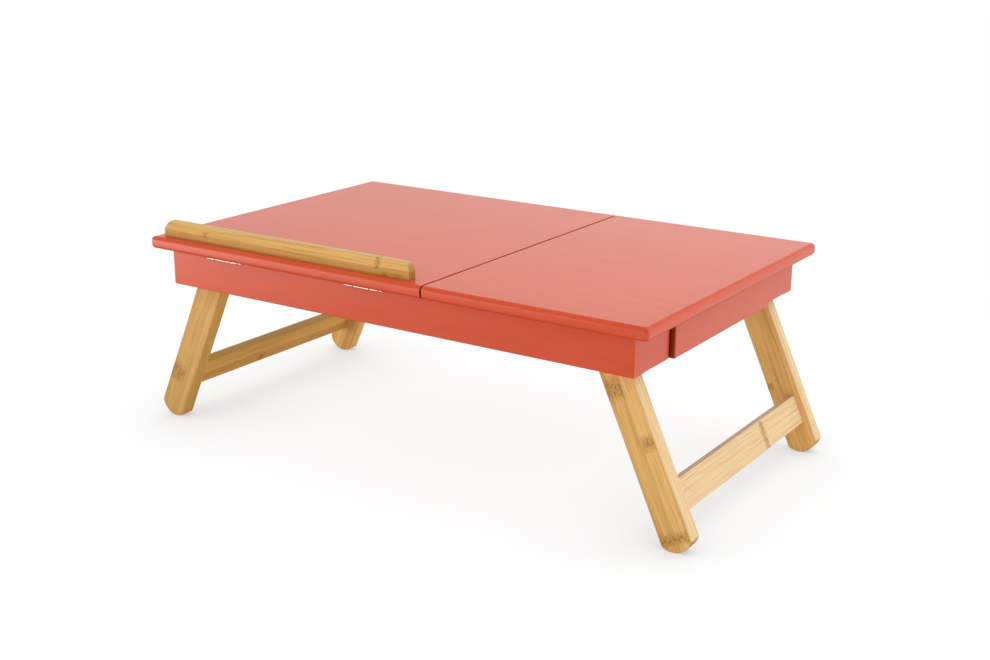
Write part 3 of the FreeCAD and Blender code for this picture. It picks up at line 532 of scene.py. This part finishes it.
# each leg's last number makes its cane lighter or darker: partly the cane's own tone, partly painted
# light and shade
rightFrontBamboo = makeLeaningBamboo("bambooRightFront", rightPivot, legCane,
                                     rightFrontKnuckles, 0.3000, 1.09)
rightBackBamboo = makeLeaningBamboo("bambooRightBack", rightPivot, legCane,
                                    [(-0.112, 0.006, -0.016, -0.006)], 0.4017, 1.15)
leftFrontBamboo = makeLeaningBamboo("bambooLeftFront", leftPivot, legCane,
                                    [(-0.133, 0.017, -0.016, 0.006)], 0.5029, 0.95)
leftBackBamboo = makeLeaningBamboo("bambooLeftBack", leftPivot, legCane,
                                   [(-0.090, 0.009, -0.016, 0.004)], 0.6041, 1.05)
rightBarBamboo = makeLeaningBamboo("bambooRightBar", rightPivot, barCane,
                                   [(0.045, 0.007, -0.155, -0.124)], 0.7011, upperEdge="sawn")
leftBarBamboo = makeLeaningBamboo("bambooLeftBar", leftPivot, barCane,
                                  [(-0.02, 0.007, -0.155, -0.140)], 0.8023, upperEdge="olive")
railKnuckles = [
    (-0.209, 0.005, 0.2065, 0.213),
    (0.0, 0.005, 0.2075, 0.219),
    (0.009, 0.006, 0.199, 0.2068),
    (0.0225, 0.009, 0.2020, 0.2066),
]
# painted shade: the upright lower face of the rail is darker than the sloped face above it
railShadeLayer = ("across", -0.2074, -1, "dark", 0.44)
railBamboo = makeBamboo("bambooRail", "XZY", railKnuckles, 0.9059, railShadeLayer, 1.05, "dull")
propBamboo = makeBamboo("bambooProp", "YZX", [(0.05, 0.006, 0.17, 0.19)], 0.1049)
plainAlong = makePlainWood("plainWoodAlong", (9.0, 120.0, 120.0))
plainAcross = makePlainWood("plainWoodAcross", (120.0, 9.0, 120.0))
brushedAlong = (60.0, 900.0, 900.0)
brushedAcross = (900.0, 60.0, 900.0)
nickel = makeMetal("nickelSteel", (0.62, 0.58, 0.56), (0.50, 0.47, 0.45), brushedAlong)
knuckleSeams = []
for node in ("left_hinge_fixed_leaf", "right_hinge_fixed_leaf"):
    low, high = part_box(node)
    knuckleSeams += [low.x + share * (high.x - low.x) for share in (0.25, 0.75)]
# painted reflection: the hinge nickel is tinted pink for the coral it mirrors; the last colour is painted
# shade on its lower side
hingeNickel = makeMetal("hingeNickel", (0.72, 0.42, 0.35), (0.56, 0.33, 0.28), brushedAlong,
                        knuckleSeams, (0.22, 0.09, 0.07))
brass = makeMetal("turnedBrass", (0.78, 0.58, 0.26), (0.62, 0.43, 0.17), brushedAcross)
print("finishes ready:", len(bpy.data.materials))


# top panels: rounded all round, square at the seam, bare wood beneath inside a painted rim
topPanel = {"corner": 0.0025, "round": 0.0040, "steps": 6, "seamEase": 0.0006, "seamSteps": 2,
            "rim": 0.024}


def makePanel(name, node, body, seamAtHigh):
    low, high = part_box(node)
    piece = addBlock(name, low, high)
    seam = high.x if seamAtHigh else low.x
    outer = low.x if seamAtHigh else high.x
    weighEdges(piece, lambda a, b: near(a.z, b.z) and not bothAt(a.x, b.x, seam), 1.0)
    weighEdges(piece, lambda a, b: bothAt(a.x, b.x, outer) and not near(a.z, b.z),
               topPanel["corner"] / topPanel["round"])
    roundByWeight(piece, topPanel["round"], topPanel["steps"])
    roundEdges(piece, lambda a, b: bothAt(a.x, b.x, seam), topPanel["seamEase"], topPanel["seamSteps"])
    pickFaces(piece, looksDown)
    bpy.ops.mesh.inset(thickness=topPanel["rim"])
    bpy.ops.object.mode_set(mode="OBJECT")
    dress(piece, body, "coral_lacquer", lacquer, node)
    under = [face for face in piece.data.polygons if looksDown(face.normal)]
    widest = max(under, key=lambda face: face.area).index
    refinish(piece, plainAlong, lambda face: face.index == widest)


makePanel("tiltingTop", "tilting_top_panel", "tilting_top", True)
makePanel("fixedTop", "fixed_top_panel", "table_frame", False)
print("top panels made")


# boards of the frame and the drawer front
frameBoard = {"ease": 0.0012, "steps": 3, "sideways": 0.9, "square": 0.999}


def makeBoard(name, node, body, material, wanted, bareSide=None, sideShade=None):
    low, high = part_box(node)
    piece = addBlock(name, low, high)
    roundEdges(piece, lambda a, b: wanted(a, b, low, high), frameBoard["ease"], frameBoard["steps"])
    dress(piece, body, "coral_lacquer", material, node)
    if sideShade:  # painted shade on its narrow faces to the front and back, a darker copy of the lacquer
        refinish(piece, sideShade, lambda face: abs(face.normal.y) > frameBoard["sideways"])
    if bareSide:  # where the unpainted face looks
        bare = plainAlong if material == lacquer else plainAcross
        refinish(piece, bare, lambda face: face.normal.dot(bareSide) > frameBoard["square"])


def outerEnds(a, b, face, low):  # the lower edge and both upright edges of a long board's outer face
    return bothAt(a.y, b.y, face) and (bothAt(a.z, b.z, low.z) or near(a.x, b.x))


def endEdges(a, b, face, low, side=None):  # the lower edge of an end face, and its upright edge at a side
    upright = side is not None and bothAt(a.y, b.y, side)
    return bothAt(a.x, b.x, face) and (bothAt(a.z, b.z, low.z) or upright)


makeBoard("frontBoard", "front_board", "table_frame", lacquer,
          lambda a, b, low, high: outerEnds(a, b, low.y, low), (0, 1, 0))
makeBoard("backBoard", "back_board", "table_frame", lacquer,
          lambda a, b, low, high: outerEnds(a, b, high.y, low), (0, -1, 0))
makeBoard("leftEndBoard", "left_end_board", "table_frame", lacquerAcross,
          lambda a, b, low, high: endEdges(a, b, low.x, low), (1, 0, 0))
makeBoard("rightFrontBlock", "right_front_end_block", "table_frame", lacquerAcross,
          lambda a, b, low, high: endEdges(a, b, high.x, low, high.y), (-1, 0, 0))
makeBoard("rightBackBlock", "right_back_end_block", "table_frame", lacquerAcross,
          lambda a, b, low, high: endEdges(a, b, high.x, low, low.y), (-1, 0, 0))
makeBoard("drawerFront", "drawer_front_panel", "drawer", lacquerAcross,
          lambda a, b, low, high: bothAt(a.x, b.x, high.x), sideShade=drawerEdgeShade)
print("frame boards made")


# legs: half-round at the pivot, shallow rounded foot
legShape = {"width": 0.030, "thickness": 0.0145, "footRound": 0.018, "footCorner": 0.004, "bore": 0.00305,
            "ease": 0.0009, "easeSteps": 3, "crownSteps": 24, "cornerSteps": 5, "soleSteps": 16}


def arc(cx, cz, radius, start, end, steps):
    turns = [start + (end - start) * step / steps for step in range(steps + 1)]
    return [(cx + radius * math.cos(turn), cz + radius * math.sin(turn)) for turn in turns]


def legOutline(footCentre):
    half = legShape["width"] / 2
    big, small = legShape["footRound"], legShape["footCorner"]
    cx = half - small
    drop = math.sqrt((big - small) ** 2 - cx ** 2)
    cz = -footCentre - drop
    bend = math.atan2(drop, cx)
    crown = arc(0, 0, half, 0, math.pi, legShape["crownSteps"])
    innerCorner = arc(-cx, cz, small, math.pi, math.pi + bend, legShape["cornerSteps"])
    sole = arc(0, -footCentre, big, math.pi + bend, 2 * math.pi - bend, legShape["soleSteps"])
    outerCorner = arc(cx, cz, small, 2 * math.pi - bend, 2 * math.pi, legShape["cornerSteps"])
    return crown + innerCorner + sole[1:-1] + outerCorner


def hang(piece, pivot):  # leans a piece drawn upright about the origin and brings it to its pivot
    piece.rotation_euler = (0, math.copysign(legSplay, -pivot.x), 0)
    piece.location = (pivot.x, 0, pivot.z)
    applyPlace(piece)


def makeLeg(name, node, body, material, pivot, outward):
    low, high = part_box(node)
    inner = high.y if outward < 0 else low.y
    depth = outward * legShape["thickness"]
    footCentre = (pivot.z - legShape["footRound"]) / math.cos(legSplay)
    piece = addPlate(name, legOutline(footCentre), inner, depth)
    roundEdges(piece, lambda a, b: near(a.y, b.y), legShape["ease"], legShape["easeSteps"])
    drill(piece, (0, inner + depth / 2, 0), legShape["bore"], 2 * legShape["thickness"])
    hang(piece, pivot)
    dress(piece, body, "bamboo", material, node)


makeLeg("rightFrontLeg", "right_front_leg", "right_leg_frame", rightFrontBamboo, rightPivot, -1)
makeLeg("rightBackLeg", "right_back_leg", "right_leg_frame", rightBackBamboo, rightPivot, 1)
makeLeg("leftFrontLeg", "left_front_leg", "left_leg_frame", leftFrontBamboo, leftPivot, -1)
makeLeg("leftBackLeg", "left_back_leg", "left_leg_frame", leftBackBamboo, leftPivot, 1)
print("legs made")


# stretchers between the legs
stretcher = {"near": 0.1255, "width": 0.028, "outer": 0.0094, "thickness": 0.010, "half": 0.129,
             "ease": 0.0009, "easeSteps": 3}


def makeStretcher(name, node, body, material, pivot):
    side = math.copysign(1, pivot.x)
    xs = sorted((side * stretcher["outer"], side * (stretcher["outer"] - stretcher["thickness"])))
    low = (xs[0], -stretcher["half"], -stretcher["near"] - stretcher["width"])
    high = (xs[1], stretcher["half"], -stretcher["near"])
    piece = addBlock(name, low, high)
    roundEdges(piece, lambda a, b: not near(a.y, b.y), stretcher["ease"], stretcher["easeSteps"])
    hang(piece, pivot)
    dress(piece, body, "bamboo", material, node)


makeStretcher("rightStretcher", "right_stretcher", "right_leg_frame", rightBarBamboo, rightPivot)
makeStretcher("leftStretcher", "left_stretcher", "left_leg_frame", leftBarBamboo, leftPivot)
print("stretchers made")


# stop rail: upright below, sloped above at the front, rounded over at both ends
stopRail = {"face": 0.0072, "slope": 0.003, "endFace": 0.0076, "endSlope": 0.0064, "endCrown": 0.0011,
            "endSteps": 8, "ease": 0.0004, "easeSteps": 2, "smooth": 13}


def railOutline(low, high):
    start = low.z + stopRail["endFace"]
    rise, reach = high.z - start, stopRail["endSlope"]
    right = []
    for step in range(stopRail["endSteps"] + 1):  # a sloped end with a slight crown
        share = step / stopRail["endSteps"]
        crown = 4 * stopRail["endCrown"] * share * (1 - share) / math.hypot(rise, reach)
        right.append((high.x - reach * share + rise * crown, start + rise * share + reach * crown))
    left = [(low.x + high.x - x, z) for x, z in reversed(right)]
    return [(low.x, low.z), (high.x, low.z)] + right + left


def makeRail():
    low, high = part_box("laptop_stop_rail")
    piece = addPlate("stopRail", railOutline(low, high), low.y, high.y - low.y)
    selectOnly(piece)
    bpy.ops.object.mode_set(mode="EDIT")
    bpy.ops.mesh.select_all(action="SELECT")
    outward = Vector((0, stopRail["face"] - (high.z - low.z), stopRail["slope"])).normalized()
    bpy.ops.mesh.bisect(plane_co=(0, low.y, low.z + stopRail["face"]), plane_no=outward,
                        use_fill=True, clear_outer=True, threshold=0.00001)
    bpy.ops.object.mode_set(mode="OBJECT")

    def eased(a, b):  # all arrises, but not where it stands and not across the crowned ends
        crosswise = near(a.x, b.x) and near(a.z, b.z)
        return not crosswise and not near(max(a.z, b.z), low.z)

    weighEdges(piece, eased, 1.0)
    roundByWeight(piece, stopRail["ease"], stopRail["easeSteps"])
    dress(piece, "tilting_top", "bamboo", railBamboo, "laptop_stop_rail", smooth=stopRail["smooth"])


makeRail()
print("stop rail made")


# hardware and small turned pieces: smooth copies of the solids
smoothPieces = {
    "leg_pivot_bolts": ("table_frame", "nickel_steel", nickel),
    "leg_washers": ("table_frame", "nickel_steel", nickel),
    "hinge_pins": ("table_frame", "nickel_steel", nickel),
    "left_hinge_fixed_leaf": ("table_frame", "nickel_steel", hingeNickel),
    "right_hinge_fixed_leaf": ("table_frame", "nickel_steel", hingeNickel),
    "left_hinge_moving_leaf": ("tilting_top", "nickel_steel", hingeNickel),
    "right_hinge_moving_leaf": ("tilting_top", "nickel_steel", hingeNickel),
    "prop_pivot_rod": ("tilting_top", "nickel_steel", nickel),
    "prop_bracket_screws": ("tilting_top", "nickel_steel", nickel),
    "rack_screws": ("table_frame", "nickel_steel", nickel),
    "guide_screws": ("table_frame", "nickel_steel", nickel),
    "left_prop_bracket": ("tilting_top", "coral_lacquer", lacquer),
    "right_prop_bracket": ("tilting_top", "coral_lacquer", lacquer),
    "left_prop_arm": ("tilt_prop", "bamboo", propBamboo),
    "right_prop_arm": ("tilt_prop", "bamboo", propBamboo),
    "prop_foot_rod": ("tilt_prop", "bamboo", propBamboo),
}


def smoothCopy(node, body, slotName, material, weld=0.000005):
    source = frame["nodes"][node]
    bpy.ops.object.select_all(action="DESELECT")
    first, *others = node.split("_")
    piece = bpy.data.objects.new(first + "".join(word.title() for word in others), source.data.copy())
    bpy.context.scene.collection.objects.link(piece)
    selectOnly(piece)
    bpy.ops.object.mode_set(mode="EDIT")
    bpy.ops.mesh.select_all(action="SELECT")
    bpy.ops.mesh.remove_doubles(threshold=weld)
    bpy.ops.object.mode_set(mode="OBJECT")
    dress(piece, body, slotName, material, node)


for node, (body, slotName, material) in smoothPieces.items():
    smoothCopy(node, body, slotName, material)
print("hardware smoothed:", len(smoothPieces))


# what stays as the solids made it
keptFinish = {
    "centre_rail": lacquerAcross, "prop_rack": lacquer, "rack_ledger": lacquerAcross,
    "front_drawer_guide": plainAlong, "back_drawer_guide": plainAlong,
    "front_drawer_runner": plainAlong, "back_drawer_runner": plainAlong,
    "drawer_front_side": plainAlong, "drawer_back_side": plainAlong,
    "drawer_inner_end": plainAcross, "drawer_floor_board": plainAlong,
    "corner_dowels": plainAcross, "fixed_panel_dowels": plainAcross, "centre_rail_dowels": plainAcross,
    "left_stretcher_dowels": plainAcross, "right_stretcher_dowels": plainAcross,
    "drawer_dowels": plainAcross, "threaded_inserts": brass, "fixed_leaf_screws": nickel,
    "moving_leaf_screws": nickel, "stop_rail_screws": nickel,
}
for node, material in keptFinish.items():
    for slot in frame["nodes"][node].material_slots:
        slot.material = material
print("kept solids finished:", len(keptFinish))


# stage, light and camera
stageLook = {
    "floorSize": 12,
    "bounce": (0.80, 0.80, 0.80),
    "bounceGlow": 0.34,
    "bounceNear": 0.10,
    "seen": (0.14, 0.14, 0.14),
    "seenGlow": 0.88,
    "shadeReach": 0.14,
    "shadeDepth": 0.52,
    "fadeStep": (0.45, 1.0),
    "worldLight": 1.05,
    "front": (0.45, -0.88, 0.12),
    "frontStep": (0.3, 0.95, 1.0, 0.45),
    "ceilingStep": (0.20, 0.65, 1.0, 0.35),
    "behindStep": (0.1, 0.5),
    "behindChange": (-0.66, -0.38, -0.11, 0.08),
    "warm": (1.0, 0.985, 0.945),
    "shine": (-0.84, -0.54, 0.0),
    "shineStep": (0.55, 0.98, 0.0, 4.0),
    "shineFloorStep": (0.5, 1.4),
    "shineHeightStep": (0.12, 0.0),
}


def shinePart(shop, way):  # how much of the bright left front lies that way
    return shop.band(shop.toward(way, stageLook["shine"]), *stageLook["shineStep"])


def makeFloor():  # white paper: a quiet grey shade near the table, pure white farther out
    bpy.ops.object.select_all(action="DESELECT")
    bpy.ops.mesh.primitive_plane_add(size=stageLook["floorSize"], location=(0, 0, 0))
    floor = named("studioFloor")
    shop = Shop("studioFloorPaper")
    shop.tree.nodes.remove(shop.shader)
    rays = shop.add("ShaderNodeLightPath").outputs
    tint = shop.blend(rays["Is Glossy Ray"], (1, 1, 1), stageLook["warm"])

    def joined(kind, *parts):
        node = shop.add(kind)
        for part, socket in zip(parts, node.inputs):
            shop.wire(part, socket)
        return node.outputs[0]

    def glow(colour, strength):
        return joined("ShaderNodeEmission", colour, strength)

    def paper(colour, strength):
        diffuse = joined("ShaderNodeBsdfDiffuse", colour)
        return joined("ShaderNodeAddShader", diffuse, glow(tint, strength))

    length = shop.add("ShaderNodeVectorMath", operation="LENGTH")
    outward = shop.add("ShaderNodeVectorMath", operation="NORMALIZE")
    for node in (length, outward):
        shop.wire(shop.place(), node.inputs[0])
    distance = length.outputs["Value"]
    fade = shop.band(distance, *stageLook["fadeStep"])
    depth = stageLook["shadeDepth"]
    shade = shop.math("MULTIPLY_ADD", shop.openness(stageLook["shadeReach"]), 1 - depth, depth)
    seenPaper = paper(stageLook["seen"], shop.math("MULTIPLY", shade, stageLook["seenGlow"]))
    seenPaper = joined("ShaderNodeMixShader", fade, seenPaper, glow(tint, 1.0))
    bounceGlow = shop.math("MULTIPLY_ADD", fade, stageLook["bounceGlow"], stageLook["bounceNear"])
    bouncePaper = paper(stageLook["bounce"], bounceGlow)
    seen = shop.math("MAXIMUM", rays["Is Camera Ray"], rays["Is Transmission Ray"])
    seen = shop.math("MAXIMUM", seen, rays["Is Glossy Ray"])
    plain = joined("ShaderNodeMixShader", seen, bouncePaper, seenPaper)
    bright = shop.band(distance, *stageLook["shineFloorStep"])
    bright = shop.math("MULTIPLY", shinePart(shop, outward.outputs[0]), bright)
    bright = shop.math("MULTIPLY", bright, rays["Is Glossy Ray"])  # left front, only in reflections
    result = joined("ShaderNodeAddShader", plain, glow((1, 1, 1), bright))
    shop.wire(result, shop.tree.nodes["Material Output"].inputs[0])
    floor.data.materials.append(shop.made)


def makeWorld():  # even light with a dimmer front, and plain white to the camera
    shop = Shop("studioWorld", "worlds")
    bpy.context.scene.world = shop.made
    rays = shop.add("ShaderNodeLightPath").outputs
    looking = shop.add("ShaderNodeTexCoord").outputs["Generated"]
    toX, toY, toZ = shop.parts(looking)
    forward = shop.toward(looking, Vector(stageLook["front"]).normalized())
    front = shop.band(forward, *stageLook["frontStep"])
    above = shop.band(toZ, *stageLook["ceilingStep"])
    change = shop.band(toX, *stageLook["behindChange"])
    behind = shop.math("MULTIPLY_ADD", change, shop.band(toY, *stageLook["behindStep"]), 1.0)
    low = shop.math("MULTIPLY", shinePart(shop, looking), shop.band(toZ, *stageLook["shineHeightStep"]))
    mirrored = shop.math("MULTIPLY_ADD", above, behind, low)  # what only reflections see
    glossy = shop.math("MULTIPLY", rays["Is Glossy Ray"], mirrored)
    plain = shop.math("SUBTRACT", 1.0, rays["Is Glossy Ray"])
    plain = shop.math("MULTIPLY", plain, stageLook["worldLight"])
    level = shop.math("MULTIPLY", shop.math("ADD", glossy, plain), front)
    seen = shop.math("MAXIMUM", rays["Is Camera Ray"], rays["Is Transmission Ray"])
    background = shop.tree.nodes["Background"]
    shop.wire(shop.math("MAXIMUM", level, seen), background.inputs["Strength"])
    tint = shop.blend(rays["Is Glossy Ray"], (1, 1, 1), stageLook["warm"])
    shop.wire(tint, background.inputs["Color"])


softBoxes = {
    "keyBox": {"place": (1.05, 0.40, 2.1), "size": 1.8, "power": 12.4},
    "leftBox": {"place": (-1.3, -1.15, 0.40), "size": 0.9, "power": 1.9},
    "frontBox": {"place": (-0.35, -1.55, 1.45), "size": 0.6, "power": 1.2},
}
softBoxAim = (0, 0, 0.12)


def makeSoftBox(name, look):
    bpy.ops.object.select_all(action="DESELECT")
    bpy.ops.object.light_add(type="AREA", location=look["place"])
    lamp = bpy.context.object
    lamp.name = name
    lamp.data.shape = "SQUARE"
    lamp.data.size = look["size"]
    lamp.data.energy = look["power"]
    aim = Vector(softBoxAim) - lamp.location
    lamp.rotation_euler = aim.to_track_quat("-Z", "Y").to_euler()


viewer = {"target": (0.08816, -0.10866, 0.150), "distance": 1.26563, "azimuth": 33.57, "elevation": 17.03,
          "roll": 0.31, "lens": 51.42, "sensor": 36.0}


def makeCamera():
    azimuth, elevation, roll = (math.radians(viewer[key]) for key in ("azimuth", "elevation", "roll"))
    away = Vector((math.sin(azimuth) * math.cos(elevation), -math.cos(azimuth) * math.cos(elevation),
                   math.sin(elevation)))
    bpy.ops.object.camera_add(location=Vector(viewer["target"]) + viewer["distance"] * away)
    camera = bpy.context.object
    camera.name = "photoCamera"
    turn = Matrix.Rotation(azimuth, 3, "Z") @ Matrix.Rotation(math.pi / 2 - elevation, 3, "X")
    camera.rotation_euler = (turn @ Matrix.Rotation(roll, 3, "Z")).to_euler()
    camera.data.lens = viewer["lens"]
    camera.data.sensor_width = viewer["sensor"]
    bpy.context.scene.camera = camera


makeFloor()
makeWorld()
for lampName, lampLook in softBoxes.items():
    makeSoftBox(lampName, lampLook)
makeCamera()
bpy.context.scene.view_settings.view_transform = "Standard"
print("stage ready")

bpy.context.view_layer.update()
